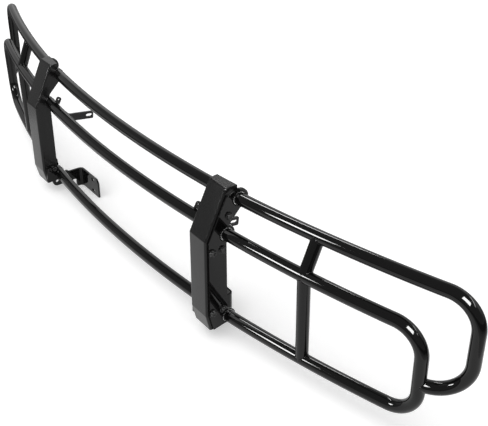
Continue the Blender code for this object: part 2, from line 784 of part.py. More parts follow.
def add_fasteners(stem, spots, thread, head_x, nut_x, guard):
    """A bolt and a nut for each spot, on both sides of the guard."""
    for row, spot in spots.items():
        seat = Vector((head_x, spot.y, spot.z))
        back = Vector((nut_x, spot.y, spot.z))
        add_pair(f"{stem}_bolt_{row}", bolt(spot, thread, head_x, nut_x), seat, BLACK_ZINC, guard)
        add_pair(f"{stem}_nut_{row}", nut(spot, thread, head_x, nut_x), back, BLACK_ZINC, guard)


def main():
    for item in list(bpy.data.objects):
        bpy.data.objects.remove(item)
    guard = bpy.data.objects.new("guard", None)
    guard.location = (0.0, -BRACKET_SETBACK, -FACE_MIDDLE)
    bpy.context.scene.collection.objects.link(guard)

    # Tubes between the uprights
    for name, axis in (("low", low_axis), ("mid", mid_axis), ("top", top_axis)):
        add_piece(f"centre_tube_{name}", centre_tube(axis), axis(0.0), GLOSS_BLACK, guard)

    # Uprights, wing plates and what bolts them together
    inner_holes = inner_drill()
    outer_holes = outer_drill()
    add_pair("upright", upright(inner_holes, outer_holes), low_axis(UPRIGHT_X), SATIN_BLACK, guard)
    add_pair("wing_plate", wing_plate(outer_holes), low_axis(WING_FACE_X), GLOSS_BLACK, guard)
    add_fasteners("wing", wing_bolt_spots(), WING_THREAD, WING_FACE_X + GAP,
                  UPRIGHT_OUTER_X - SHEET - GAP, guard)

    # Wings
    add_pair("wing_loop", hollow_tube(loop_path()), mid_axis(WING_FACE_X), GLOSS_BLACK, guard)
    add_pair("wing_hoop", wing_hoop(), top_axis(WING_FACE_X), GLOSS_BLACK, guard)
    add_pair("wing_post_upper", wing_post(top_axis, mid_axis), mid_axis(POST_X), GLOSS_BLACK, guard)
    add_pair("wing_post_lower", wing_post(mid_axis, low_axis), low_axis(POST_X), GLOSS_BLACK, guard)

    # Brackets and straps that fasten the guard to the vehicle
    add_pair("frame_bracket", frame_bracket(inner_holes), low_axis(UPRIGHT_X), GLOSS_BLACK, guard)
    add_fasteners("bracket", bracket_bolt_spots(), BRACKET_THREAD, BRACKET_LEG_X - GAP,
                  UPRIGHT_X + SHEET + GAP, guard)
    add_pair("support_strap", support_strap(), mid_axis(STRAP_X), SATIN_BLACK, guard)
    add_pair("tube_tab", tube_tab(), mid_axis(TAB_X), SATIN_BLACK, guard)


main()
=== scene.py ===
# %% [markdown]
# Front grille guard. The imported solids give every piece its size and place. This lesson dresses them:
# smooth tubes swept along their paths, sheet pieces with broken edges, weld beads, detailed bolts,
# and the black finishes under plain studio light.

# %% Load the frame
import json
import math

import bmesh
import bpy
from mathutils import Matrix, Vector

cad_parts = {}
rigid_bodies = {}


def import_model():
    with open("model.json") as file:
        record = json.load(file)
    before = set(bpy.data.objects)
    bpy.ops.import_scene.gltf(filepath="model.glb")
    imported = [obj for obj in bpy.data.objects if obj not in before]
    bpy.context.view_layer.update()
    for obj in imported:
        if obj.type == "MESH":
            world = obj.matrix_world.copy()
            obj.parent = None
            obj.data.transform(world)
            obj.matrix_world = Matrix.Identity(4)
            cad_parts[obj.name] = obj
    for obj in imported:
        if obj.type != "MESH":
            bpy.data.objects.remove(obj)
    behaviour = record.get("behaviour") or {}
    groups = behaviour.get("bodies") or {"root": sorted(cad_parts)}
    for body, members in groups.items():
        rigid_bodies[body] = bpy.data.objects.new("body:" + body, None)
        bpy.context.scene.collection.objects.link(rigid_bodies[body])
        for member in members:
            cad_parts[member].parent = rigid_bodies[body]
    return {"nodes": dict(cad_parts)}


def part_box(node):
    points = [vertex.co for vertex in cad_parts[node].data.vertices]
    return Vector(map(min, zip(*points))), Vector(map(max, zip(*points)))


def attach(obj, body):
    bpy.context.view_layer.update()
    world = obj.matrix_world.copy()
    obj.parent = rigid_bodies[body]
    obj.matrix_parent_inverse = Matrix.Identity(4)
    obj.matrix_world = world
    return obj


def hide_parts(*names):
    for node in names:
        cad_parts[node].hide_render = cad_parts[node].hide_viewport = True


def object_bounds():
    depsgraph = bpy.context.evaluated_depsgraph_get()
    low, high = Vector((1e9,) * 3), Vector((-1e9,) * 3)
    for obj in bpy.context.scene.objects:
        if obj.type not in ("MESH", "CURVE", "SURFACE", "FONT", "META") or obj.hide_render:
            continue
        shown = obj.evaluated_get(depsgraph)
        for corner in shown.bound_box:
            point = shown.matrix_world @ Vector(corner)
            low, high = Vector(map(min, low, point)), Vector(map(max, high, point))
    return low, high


for item in list(bpy.data.objects):
    bpy.data.objects.remove(item)
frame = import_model()
cad_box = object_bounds()
print("solids:", len(frame["nodes"]), "from", cad_box[0], "to", cad_box[1])

# %% [markdown]
# Sizes. The guard is drawn from its low tube's axis on the centre plane. These are the tube sizes and
# runs that the solids were made with, in metres, so that a swept tube lies on its solid. The skin is
# drawn a hair thinner, which keeps the round tube inside the solids' box.

# %% Sizes of the tubes and where they run
GUARD_PLACE = Vector((0.0, -0.0885, 0.0305))
TUBE_DIAMETER = 0.0269
TUBE_RADIUS = TUBE_DIAMETER / 2
SKIN_INSET = 0.00015
SKIN_RADIUS = TUBE_RADIUS - SKIN_INSET
TUBE_WALL = 0.0026
TUBE_GAP = 0.0003
ARC_RADIUS = 3.2
MID_HEIGHT = 0.2033
TOP_HEIGHT = 0.2749
MID_FORWARD = 0.0032
TOP_BACK = 0.0281
LOW_RISE = 0.0254
TOP_RISE = 0.0178
UPRIGHT_FACE_X = 0.361
UPRIGHT_OUTER_X = 0.4197
WING_FACE_X = 0.425
TUBE_TUCK = 0.014
LOOP_END_X = 0.878
LOOP_BEND = 0.059
HOOP_END_X = 0.9486
HOOP_BEND = 0.061
HOOP_FOOT_HEIGHT = 0.0695
HOOP_RETURN_HEIGHT = 0.0894
HOOP_RETURN_BEND = 0.068
POST_X = 0.628
LEFT, RIGHT = -1.0, 1.0


def low_axis(x):
    """The low tube's axis at x, which climbs a little out along the wings."""
    back = ARC_RADIUS - math.sqrt(ARC_RADIUS ** 2 - x ** 2)
    rise = LOW_RISE * max(abs(x) - WING_FACE_X, 0.0)
    return GUARD_PLACE + Vector((x, back, rise))


def mid_axis(x):
    """The middle tube's axis at x, a little ahead of the low tube."""
    level = low_axis(x)
    level.z = GUARD_PLACE.z + MID_HEIGHT
    return level + Vector((0.0, -MID_FORWARD, 0.0))


def top_axis(x):
    """The top tube's axis at x, set back from the low tube."""
    level = low_axis(x)
    level.z = GUARD_PLACE.z + TOP_HEIGHT + TOP_RISE * max(abs(x) - WING_FACE_X, 0.0)
    return level + Vector((0.0, TOP_BACK, 0.0))


print("low, middle and top tube on the centre plane:", low_axis(0.0), mid_axis(0.0), top_axis(0.0))

# %% [markdown]
# Powder coat. The guard is steel under black powder: a dry paint that is melted on in an oven. It
# flows into a skin with a faint orange-peel ripple. Two noises do this: a fine one bends the surface,
# and a coarse one makes the gloss a little uneven. Clear plastic has an index of about 1.5. The index
# here is lower, which was chosen by tone to give blacks as deep as in the photograph.

# %% Finishes
PEEL_SCALE, PEEL_DETAIL, PEEL_DEPTH = 420.0, 1.0, 0.0002
CLOUD_SCALE, CLOUD_DETAIL = 14.0, 3.0


def noise(tree, coords, scale, detail):
    """A noise texture that stays fixed to the piece."""
    texture = tree.nodes.new("ShaderNodeTexNoise")
    texture.inputs["Scale"].default_value = scale
    texture.inputs["Detail"].default_value = detail
    tree.links.new(coords.outputs["Object"], texture.inputs["Vector"])
    return texture


def between(tree, source, low, high):
    """A number that follows the source from low to high."""
    spread = tree.nodes.new("ShaderNodeMapRange")
    spread.inputs["To Min"].default_value = low
    spread.inputs["To Max"].default_value = high
    tree.links.new(source.outputs["Fac"], spread.inputs["Value"])
    return spread.outputs["Result"]


def powder_coat(name, shade, sheen, ripple, index):
    """Black powder coat: shade and sheen are the lowest and highest colour and roughness."""
    material = bpy.data.materials.new(name)
    material.use_nodes = True
    tree = material.node_tree
    shader = tree.nodes["Principled BSDF"]
    coords = tree.nodes.new("ShaderNodeTexCoord")
    clouds = noise(tree, coords, CLOUD_SCALE, CLOUD_DETAIL)
    peel = noise(tree, coords, PEEL_SCALE, PEEL_DETAIL)
    tint = tree.nodes.new("ShaderNodeCombineColor")
    for channel in ("Red", "Green", "Blue"):
        tree.links.new(between(tree, clouds, *shade), tint.inputs[channel])
    tree.links.new(tint.outputs["Color"], shader.inputs["Base Color"])
    tree.links.new(between(tree, clouds, *sheen), shader.inputs["Roughness"])
    bump = tree.nodes.new("ShaderNodeBump")
    bump.inputs["Strength"].default_value = ripple
    bump.inputs["Distance"].default_value = PEEL_DEPTH
    tree.links.new(peel.outputs["Fac"], bump.inputs["Height"])
    tree.links.new(bump.outputs["Normal"], shader.inputs["Normal"])
    shader.inputs["IOR"].default_value = index
    return material


gloss_black = powder_coat("gloss_black", shade=(0.002, 0.004), sheen=(0.03, 0.06), ripple=0.006, index=1.34)
satin_black = powder_coat("satin_black", shade=(0.003, 0.006), sheen=(0.22, 0.30), ripple=0.02, index=1.33)
black_zinc = powder_coat("black_zinc", shade=(0.003, 0.006), sheen=(0.05, 0.09), ripple=0.02, index=1.42)
FINISHES = {"gloss_black": gloss_black, "satin_black": satin_black, "black_zinc": black_zinc}
print("finishes:", ", ".join(FINISHES))

# %% [markdown]
# Handing a piece over. Each finished piece stands for one or more solids, rides on the one body that
# a bolted and welded guard is, and names the finish that it takes.

# %% Finish a piece
SMOOTH_ANGLE = math.radians(35)
MILLIMETRES = 1000


def hand_over(name, mesh, finish, nodes):
    """Make a mesh a piece of the guard in place of these solids."""
    mesh.name = name
    mesh.materials.clear()
    mesh.materials.append(FINISHES[finish])
    piece = bpy.data.objects.new(name, mesh)
    bpy.context.scene.collection.objects.link(piece)
    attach(piece, "root")
    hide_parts(*nodes)
    return piece


def baked(item):
    """The object as its modifiers leave it, as a plain mesh. The object goes away."""
    graph = bpy.context.evaluated_depsgraph_get()
    mesh = bpy.data.meshes.new_from_object(item.evaluated_get(graph))
    bpy.data.objects.remove(item)
    return mesh


def fit(name, node):
    """How far a piece's box departs from its solid's, in millimetres."""
    corners = [Vector(corner) for corner in bpy.data.objects[name].bound_box]
    low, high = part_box(node)
    return MILLIMETRES * max((corners[0] - low).length, (corners[6] - high).length)


print("an edge is drawn sharp above", round(math.degrees(SMOOTH_ANGLE)), "degrees")

# %% [markdown]
# Tubes. On the real guard each is one length of pipe, rolled to a long arc and drawn round a former at
# its bends. Geometry Nodes suits that: a curve carries the path, a circle swept along it makes the
# skin, and Radius and Sides stay inputs. A Solidify modifier then gives the skin its wall, so the cut
# ends show real pipe.

# %% The tube tree
TUBE_SIDES = 48


def add_socket(tree, name, kind, value):
    """A named input of a tree with its usual value. Returns the identifier that sets it."""
    socket = tree.interface.new_socket(name, in_out="INPUT", socket_type=kind)
    socket.default_value = value
    return socket.identifier


def new_tree(name):
    """An empty geometry tree with a geometry input and output."""
    tree = bpy.data.node_groups.new(name, "GeometryNodeTree")
    tree.interface.new_socket("Geometry", in_out="INPUT", socket_type="NodeSocketGeometry")
    tree.interface.new_socket("Geometry", in_out="OUTPUT", socket_type="NodeSocketGeometry")
    return tree


def chain(tree, nodes):
    """Link nodes one after another through their first geometry sockets."""
    for first, second in zip(nodes, nodes[1:]):
        tree.links.new(first.outputs[0], second.inputs[0])


tube_tree = new_tree("swept_tube")
TUBE_RADIUS_INPUT = add_socket(tube_tree, "Radius", "NodeSocketFloat", SKIN_RADIUS)
TUBE_SIDES_INPUT = add_socket(tube_tree, "Sides", "NodeSocketInt", TUBE_SIDES)
TUBE_FINISH_INPUT = tube_tree.interface.new_socket(
    "Finish", in_out="INPUT", socket_type="NodeSocketMaterial").identifier
tube_in = tube_tree.nodes.new("NodeGroupInput")
tube_out = tube_tree.nodes.new("NodeGroupOutput")
tube_ring = tube_tree.nodes.new("GeometryNodeCurvePrimitiveCircle")
tube_sweep = tube_tree.nodes.new("GeometryNodeCurveToMesh")
tube_smooth = tube_tree.nodes.new("GeometryNodeSetShadeSmooth")
tube_real = tube_tree.nodes.new("GeometryNodeRealizeInstances")
tube_paint = tube_tree.nodes.new("GeometryNodeSetMaterial")
chain(tube_tree, [tube_in, tube_sweep, tube_smooth, tube_real, tube_paint, tube_out])
tube_tree.links.new(tube_in.outputs["Radius"], tube_ring.inputs["Radius"])
tube_tree.links.new(tube_in.outputs["Sides"], tube_ring.inputs["Resolution"])
tube_tree.links.new(tube_ring.outputs["Curve"], tube_sweep.inputs["Profile Curve"])
tube_tree.links.new(tube_in.outputs["Finish"], tube_paint.inputs["Material"])


def path_object(name, points, closed=False):
    """A poly curve through the points."""
    curve = bpy.data.curves.new(name, "CURVE")
    curve.dimensions = "3D"
    spline = curve.splines.new("POLY")
    spline.points.add(len(points) - 1)
    spline.use_cyclic_u = closed
    for slot, point in zip(spline.points, points):
        slot.co = (*point, 1.0)
    item = bpy.data.objects.new(name, curve)
    bpy.context.scene.collection.objects.link(item)
    return item


def swept_tube(name, points):
    """The outer skin of a tube along the points, as a mesh."""
    item = path_object(name, points)
    nodes = item.modifiers.new("Tube", "NODES")
    nodes.node_group = tube_tree
    nodes[TUBE_RADIUS_INPUT] = SKIN_RADIUS
    nodes[TUBE_SIDES_INPUT] = TUBE_SIDES
    nodes[TUBE_FINISH_INPUT] = gloss_black
    return baked(item)


def with_wall(name, skin):
    """The skin thickened inwards to the tube's wall."""
    item = bpy.data.objects.new(name, skin)
    bpy.context.scene.collection.objects.link(item)
    wall = item.modifiers.new("Wall", "SOLIDIFY")
    wall.thickness = TUBE_WALL
    wall.offset = -1.0
    wall.use_even_offset = True
    mesh = baked(item)
    mesh.shade_smooth()
    mesh.set_sharp_from_angle(angle=SMOOTH_ANGLE)
    return mesh


print("tube tree:", len(tube_tree.nodes), "nodes,", TUBE_SIDES, "sides")

# %% [markdown]
# Centre tubes. Three bowed pipes run from upright to upright, their ends tucked through the inner
# flanges. One formula gives the bow, so the path is a loop over x.

# %% Centre tubes
RUN_STEP = 0.012


def run(axis, start_x, end_x):
    """Points along a bowed tube's axis, about a step apart."""
    count = max(2, round(abs(end_x - start_x) / RUN_STEP))
    return [axis(start_x + (end_x - start_x) * step / count) for step in range(count + 1)]


for level, axis in (("low", low_axis), ("mid", mid_axis), ("top", top_axis)):
    name = f"tube_{level}"
    reach = UPRIGHT_FACE_X + TUBE_TUCK
    skin = swept_tube(name, run(axis, -reach, reach))
    node = f"centre_tube_{level}"
    hand_over(name, with_wall(name, skin), "gloss_black", [node])
    print(name, "is within", round(fit(name, node), 2), "mm of its solid")

# %% [markdown]
# Wings. Each wing is a closed loop with a hoop above and behind it. A bend is drawn as the arc that
# touches both straight runs, which is how a bending former leaves a pipe.

# %% Wing loops and hoops
BEND_STEPS = 24
BEND_LEAD = 1.2
END_ROOM = 0.98


def bend(before, corner, after, radius):
    """Points of the arc that rounds a corner, drawn tighter where the run after it is short."""
    back = (before - corner).normalized()
    ahead = (after - corner).normalized()
    half = back.angle(ahead) / 2
    lead = min(radius / math.tan(half), END_ROOM * (after - corner).length)
    radius = lead * math.tan(half)
    centre = corner + (back + ahead).normalized() * (radius / math.sin(half))
    start, end = corner + back * lead - centre, corner + ahead * lead - centre
    return [centre + start.slerp(end, step / BEND_STEPS) * radius for step in range(BEND_STEPS + 1)]


def wing_run(axis, side, end_x, radius):
    """A wing tube's bowed part, up to where its end bend begins."""
    return run(axis, side * (UPRIGHT_OUTER_X - TUBE_TUCK), side * (end_x - BEND_LEAD * radius))


def loop_end(side, height):
    """The point on the loop's end tube at this height above the low tube's axis."""
    top, bottom = mid_axis(side * LOOP_END_X), low_axis(side * LOOP_END_X)
    share = (GUARD_PLACE.z + height - bottom.z) / (top.z - bottom.z)
    return bottom.lerp(top, share)


def loop_path(side):
    """Out along the middle tube, down the end and back along the low tube."""
    out = wing_run(mid_axis, side, LOOP_END_X, LOOP_BEND)
    back = wing_run(low_axis, side, LOOP_END_X, LOOP_BEND)[::-1]
    upper, lower = mid_axis(side * LOOP_END_X), low_axis(side * LOOP_END_X)
    path = out + bend(out[-1], upper, lower, LOOP_BEND)
    return path + bend(upper, lower, back[0], LOOP_BEND) + back


def hoop_path(side):
    """Out along the top tube, down the end and forward to the loop."""
    out = wing_run(top_axis, side, HOOP_END_X, HOOP_BEND)
    corner = top_axis(side * HOOP_END_X)
    foot = Vector((corner.x, corner.y, GUARD_PLACE.z + HOOP_FOOT_HEIGHT))
    end = loop_end(side, HOOP_RETURN_HEIGHT)
    path = out + bend(out[-1], corner, foot, HOOP_BEND)
    return path + bend(corner, foot, end, HOOP_RETURN_BEND) + [end]


SIDES = {"right": RIGHT, "left": LEFT}
for word, side in SIDES.items():
    name = f"loop_{word}"
    node = f"wing_loop_{word}"
    mesh = with_wall(name, swept_tube(name, loop_path(side)))
    hand_over(name, mesh, "gloss_black", [node])
    print(name, "is within", round(fit(name, node), 2), "mm of its solid")

# %% [markdown]
# Coped ends. Where one pipe meets another, its end is cut to a saddle so that it sits on the other
# pipe all round. The skin is a bundle of lines along the tube, so each line is followed back from its
# end until it leaves the other pipe, and its points slide up to there. The saddle is kept, because the
# weld follows it.

# %% Hoops and posts with coped ends
HALVINGS = 24


def stop_on_tube(line, centre, axis):
    """How many steps of a line, which ends inside a tube, lie outside it."""
    def inside(place):
        step = min(int(place), len(line) - 2)
        offset = line[step].lerp(line[step + 1], place - step) - centre
        return (offset - axis * offset.dot(axis)).length < TUBE_RADIUS + TUBE_GAP
    far = len(line) - 1.0
    while inside(far - 1.0):
        far -= 1.0
    near = far - 1.0
    for _ in range(HALVINGS):
        middle = (near + far) / 2
        near, far = (near, middle) if inside(middle) else (middle, far)
    return near


def cope(skin, at_start, centre, axis):
    """Cut one end of a skin to the tube with this centre and axis. Returns the saddle."""
    count = len(skin.vertices) // TUBE_SIDES
    rings = list(range(count))[::-1] if at_start else list(range(count))
    lines = [[skin.vertices[ring * TUBE_SIDES + side].co.copy() for ring in rings]
             for side in range(TUBE_SIDES)]
    stops = [stop_on_tube(line, centre, axis) for line in lines]
    kept = max(int(min(stops)) - 1, 0)
    for side, (line, stop) in enumerate(zip(lines, stops)):
        for index in range(kept + 1, count):
            place = kept + (stop - kept) * (index - kept) / (count - 1 - kept)
            step = min(int(place), count - 2)
            vertex = skin.vertices[rings[index] * TUBE_SIDES + side]
            vertex.co = line[step].lerp(line[step + 1], place - step)
    return [skin.vertices[rings[-1] * TUBE_SIDES + side].co.copy() for side in range(TUBE_SIDES)]


weld_paths = {}
for word, side in SIDES.items():
    name = f"hoop_{word}"
    skin = swept_tube(name, hoop_path(side))
    joint = loop_end(side, HOOP_RETURN_HEIGHT)
    standing = (mid_axis(side * LOOP_END_X) - low_axis(side * LOOP_END_X)).normalized()
    weld_paths[f"hoop_end_{word}"] = cope(skin, False, joint, standing)
    hand_over(name, with_wall(name, skin), "gloss_black", [f"wing_hoop_{word}"])
    print(name, "is within", round(fit(name, f"wing_hoop_{word}"), 2), "mm of its solid")


def tangent(axis, x):
    """The way that a tube runs at x."""
    return (axis(x + TUBE_RADIUS) - axis(x - TUBE_RADIUS)).normalized()


for word, side in SIDES.items():
    for level, upper, lower in (("upper", top_axis, mid_axis), ("lower", mid_axis, low_axis)):
        name = f"post_{level}_{word}"
        x = side * POST_X
        skin = swept_tube(name, [upper(x), upper(x).lerp(lower(x), 0.5), lower(x)])
        weld_paths[f"{name}_top"] = cope(skin, True, upper(x), tangent(upper, x))
        weld_paths[f"{name}_foot"] = cope(skin, False, lower(x), tangent(lower, x))
        hand_over(name, with_wall(name, skin), "gloss_black", [f"wing_{name}"])
print("coped joints:", len(weld_paths))

# %% [markdown]
# Sheet and plate pieces. The uprights, wing plates, brackets, straps and tabs are cut flat and folded,
# and their solids already have the true outline and holes. So each dressed piece starts as a copy of
# its solid: the loose triangles are merged, flat faces are made one face again, and a small bevel
# breaks the cut edges, as powder coat rounds them on the real part.

# %% Uprights, plates, brackets, straps and tabs
MERGE_DISTANCE = 0.00002
FLAT_ANGLE = math.radians(1.0)
EDGE_ANGLE = math.radians(50)
EDGE_SEGMENTS = 2
PLATE_EDGE, BAR_EDGE = 0.0006, 0.0005


def dressed_sheet(name, node, edge):
    """A clean copy of a solid with its sharp edges broken by this width."""
    bm = bmesh.new()
    bm.from_mesh(frame["nodes"][node].data)
    bmesh.ops.remove_doubles(bm, verts=bm.verts, dist=MERGE_DISTANCE)
    bmesh.ops.dissolve_limit(bm, angle_limit=FLAT_ANGLE, verts=bm.verts, edges=bm.edges)
    mesh = bpy.data.meshes.new(name)
    bm.to_mesh(mesh)
    bm.free()
    item = bpy.data.objects.new(name, mesh)
    bpy.context.scene.collection.objects.link(item)
    bevel = item.modifiers.new("Broken edge", "BEVEL")
    bevel.width = edge
    bevel.segments = EDGE_SEGMENTS
    bevel.limit_method = "ANGLE"
    bevel.angle_limit = EDGE_ANGLE
    mesh.shade_smooth()
    mesh.set_sharp_from_angle(angle=SMOOTH_ANGLE)
    normals = item.modifiers.new("Flat faces", "WEIGHTED_NORMAL")
    normals.keep_sharp = True
    return baked(item)


SHEETS = {
    "upright": ("satin_black", PLATE_EDGE),
    "wing_plate": ("gloss_black", PLATE_EDGE),
    "frame_bracket": ("gloss_black", PLATE_EDGE),
    "support_strap": ("satin_black", BAR_EDGE),
    "tube_tab": ("satin_black", BAR_EDGE),
}
for stem, (finish, edge) in SHEETS.items():
    for word in SIDES:
        node = f"{stem}_{word}"
        name = f"{stem}_sheet_{word}"
        hand_over(name, dressed_sheet(name, node, edge), finish, [node])
        print(name, "is within", round(fit(name, node), 2), "mm of its solid")

# %% [markdown]
# Weld beads. A weld is a row of overlapping drops of steel along the joint. A thin tube swept along
# the joint, its radius swelling and shrinking once per drop, gives the same ripple as one clean mesh.
# Geometry Nodes follow the path: resample it finely, then set the radius from the length along it. The
# beads between tubes are fine and smooth under the powder, and those on the wing plates are bolder.

# %% The weld tree
WELD_RADIUS, WELD_PITCH, WELD_SWELL = 0.0007, 0.0034, 0.08
PLATE_WELD_RADIUS, PLATE_WELD_SWELL = 0.0028, 0.3
WELD_STEP = 0.0006
WELD_SIDES = 10

weld_tree = new_tree("weld_bead")
WELD_INPUTS = {
    "Radius": add_socket(weld_tree, "Radius", "NodeSocketFloat", WELD_RADIUS),
    "Pitch": add_socket(weld_tree, "Pitch", "NodeSocketFloat", WELD_PITCH),
    "Swell": add_socket(weld_tree, "Swell", "NodeSocketFloat", WELD_SWELL),
    "Step": add_socket(weld_tree, "Step", "NodeSocketFloat", WELD_STEP),
}
WELD_FINISH_INPUT = weld_tree.interface.new_socket(
    "Finish", in_out="INPUT", socket_type="NodeSocketMaterial").identifier


def math_node(tree, operation, first, second):
    """A Math node fed by sockets or numbers."""
    node = tree.nodes.new("ShaderNodeMath")
    node.operation = operation
    for socket, value in zip(node.inputs, (first, second)):
        if isinstance(value, float):
            socket.default_value = value
        else:
            tree.links.new(value, socket)
    return node.outputs[0]


weld_in = weld_tree.nodes.new("NodeGroupInput")
weld_out = weld_tree.nodes.new("NodeGroupOutput")
weld_points = weld_tree.nodes.new("GeometryNodeResampleCurve")
weld_points.mode = "LENGTH"
weld_length = weld_tree.nodes.new("GeometryNodeSplineParameter")
weld_swollen = weld_tree.nodes.new("GeometryNodeSetCurveRadius")
weld_ring = weld_tree.nodes.new("GeometryNodeCurvePrimitiveCircle")
weld_ring.inputs["Resolution"].default_value = WELD_SIDES
weld_ring.inputs["Radius"].default_value = 1.0
weld_sweep = weld_tree.nodes.new("GeometryNodeCurveToMesh")
weld_smooth = weld_tree.nodes.new("GeometryNodeSetShadeSmooth")
weld_real = weld_tree.nodes.new("GeometryNodeRealizeInstances")
weld_paint = weld_tree.nodes.new("GeometryNodeSetMaterial")
weld_radius = weld_tree.nodes.new("GeometryNodeInputRadius")
chain(weld_tree, [weld_in, weld_points, weld_swollen, weld_sweep,
                  weld_smooth, weld_real, weld_paint, weld_out])
weld_tree.links.new(weld_in.outputs["Step"], weld_points.inputs["Length"])
weld_turns = math_node(weld_tree, "DIVIDE", weld_length.outputs["Length"], weld_in.outputs["Pitch"])
weld_wave = math_node(weld_tree, "SINE", math_node(weld_tree, "MULTIPLY", weld_turns, math.tau), 0.0)
weld_swing = math_node(weld_tree, "MULTIPLY", weld_wave, weld_in.outputs["Swell"])
weld_size = math_node(weld_tree, "ADD", weld_swing, 1.0)
weld_wide = math_node(weld_tree, "MULTIPLY", weld_size, weld_in.outputs["Radius"])
weld_tree.links.new(weld_wide, weld_swollen.inputs["Radius"])
weld_tree.links.new(weld_ring.outputs["Curve"], weld_sweep.inputs["Profile Curve"])
weld_tree.links.new(weld_in.outputs["Finish"], weld_paint.inputs["Material"])
weld_tree.links.new(weld_radius.outputs["Radius"], weld_sweep.inputs["Scale"])
print("weld tree:", len(weld_tree.nodes), "nodes, one drop every", MILLIMETRES * WELD_PITCH, "mm")

# %% [markdown]
# Ring welds. Where a tube passes through a flange or a wing plate, the bead is the ring in which the
# tube's skin meets that flat face. The tube crosses at a slight slant, so each point of the ring slides
# along the tube until it lies on the face.

# %% Weld beads
RING_STEPS = 48


def ring_on_face(axis, face_x):
    """Where a tube's skin meets the plane at face_x."""
    along = tangent(axis, face_x)
    across = along.orthogonal().normalized()
    over = along.cross(across)
    ring = []
    for step in range(RING_STEPS):
        turn = math.tau * step / RING_STEPS
        point = axis(face_x) + (across * math.cos(turn) + over * math.sin(turn)) * TUBE_RADIUS
        ring.append(point + along * ((face_x - point.x) / along.x))
    return ring


for word, side in SIDES.items():
    for level, axis in (("low", low_axis), ("mid", mid_axis), ("top", top_axis)):
        weld_paths[f"flange_{level}_{word}"] = ring_on_face(axis, side * UPRIGHT_FACE_X)
        weld_paths[f"plate_{level}_{word}"] = ring_on_face(axis, side * WING_FACE_X)


def weld_bead(name, points, radius, swell):
    """A bead round the closed path, as a mesh."""
    item = path_object(name, points, closed=True)
    nodes = item.modifiers.new("Weld", "NODES")
    nodes.node_group = weld_tree
    sizes = {"Radius": radius, "Pitch": WELD_PITCH, "Swell": swell, "Step": WELD_STEP}
    for word, size in sizes.items():
        nodes[WELD_INPUTS[word]] = size
    nodes[WELD_FINISH_INPUT] = gloss_black
    return baked(item)


for joint, points in weld_paths.items():
    name = f"weld_{joint}"
    radius, swell = WELD_RADIUS, WELD_SWELL
    if joint.startswith("plate"):
        radius, swell = PLATE_WELD_RADIUS, PLATE_WELD_SWELL
    hand_over(name, weld_bead(name, points, radius, swell), "gloss_black", [])
print("weld beads:", len(weld_paths))

# %% [markdown]
# Bolts and nuts. The wings hang on flanged hexagon bolts through plate and flange, with nuts inside
# the uprights. A bolt could be carved from a cylinder. Here it is skinned over a pile of rings, which
# turns thread, flange, hexagon and chamfer in one go. All sizes are in thread diameters, so one shape
# serves both bolt sizes.

# %% Fastener shapes
HEX_SIDES = 6
ROUND_SIDES = 48
HEX_FLATS, HEAD_HEIGHT, NUT_HEIGHT, CHAMFER = 1.63, 0.65, 0.8, 0.08
FLANGE_REACH, FLANGE_RIM, FLANGE_TOP = 1.05, 0.05, 0.12
HEX_FOOT, HEX_START = 0.2, 0.22
THREAD_ROOT, THREAD_PITCH, POINT_REACH, PLAIN_SHANK = 0.44, 0.15, 0.36, 0.9
DISH_DEPTH, BORE_CHAMFER = 0.03, 0.04
ROUNDED, CROWN, DISH_RIM, DISH_FLOOR = 0.98, 0.97, 0.6, 0.5
CORNER_REACH = 1 / math.cos(math.pi / HEX_SIDES)


def ring_verts(bm, height, radius, flats=0.0):
    """A ring round Z; where flats is given, it is drawn in to a hexagon of that width."""
    verts = []
    for step in range(ROUND_SIDES):
        turn = math.tau * step / ROUND_SIDES
        reach = radius
        if flats:
            sector = math.tau / HEX_SIDES
            reach = min(radius, flats / 2 / math.cos(turn % sector - sector / 2))
        verts.append(bm.verts.new((reach * math.cos(turn), reach * math.sin(turn), height)))
    return verts


def turned(name, rings, closed=False):
    """A mesh skinned over rings of (height, radius, flats)."""
    bm = bmesh.new()
    loops = [ring_verts(bm, *ring) for ring in rings]
    for first, second in zip(loops, loops[1:] + (loops[:1] if closed else [])):
        for a, b, c, d in zip(first, first[1:] + first[:1], second[1:] + second[:1], second):
            bm.faces.new((a, b, c, d))
    if not closed:
        bm.faces.new(loops[0])
        bm.faces.new(loops[-1])
    bmesh.ops.recalc_face_normals(bm, faces=bm.faces)
    mesh = bpy.data.meshes.new(name)
    bm.to_mesh(mesh)
    bm.free()
    mesh.shade_smooth()
    mesh.set_sharp_from_angle(angle=SMOOTH_ANGLE)
    item = bpy.data.objects.new(name, mesh)
    bpy.context.scene.collection.objects.link(item)
    return item


def bolt_shape(name, thread, grip):
    """A flanged bolt with its seat at zero and its head up, as long under the head as its grip."""
    flats, flange = HEX_FLATS * thread, FLANGE_REACH * thread
    corners, crown, head = flats * CORNER_REACH, CROWN * flats / 2, HEAD_HEIGHT * thread
    root, pitch = THREAD_ROOT * thread, THREAD_PITCH * thread
    height = -grip + CHAMFER * thread
    rings = [(-grip, POINT_REACH * thread), (height, root)]
    while height + pitch < -PLAIN_SHANK * thread:
        rings += [(height + pitch / 2, thread / 2), (height + pitch, root)]
        height += pitch
    rings += [(height + pitch, thread / 2), (0.0, thread / 2), (0.0, ROUNDED * flange)]
    rings += [(FLANGE_RIM * thread, flange), (FLANGE_TOP * thread, flange)]
    rings += [(HEX_FOOT * thread, ROUNDED * corners / 2), (HEX_START * thread, corners / 2, flats)]
    rings += [(head - CHAMFER * thread, corners / 2, flats), (head, crown)]
    rings += [(head, DISH_RIM * flats / 2), (head - DISH_DEPTH * thread, DISH_FLOOR * flats / 2)]
    return turned(name, rings)


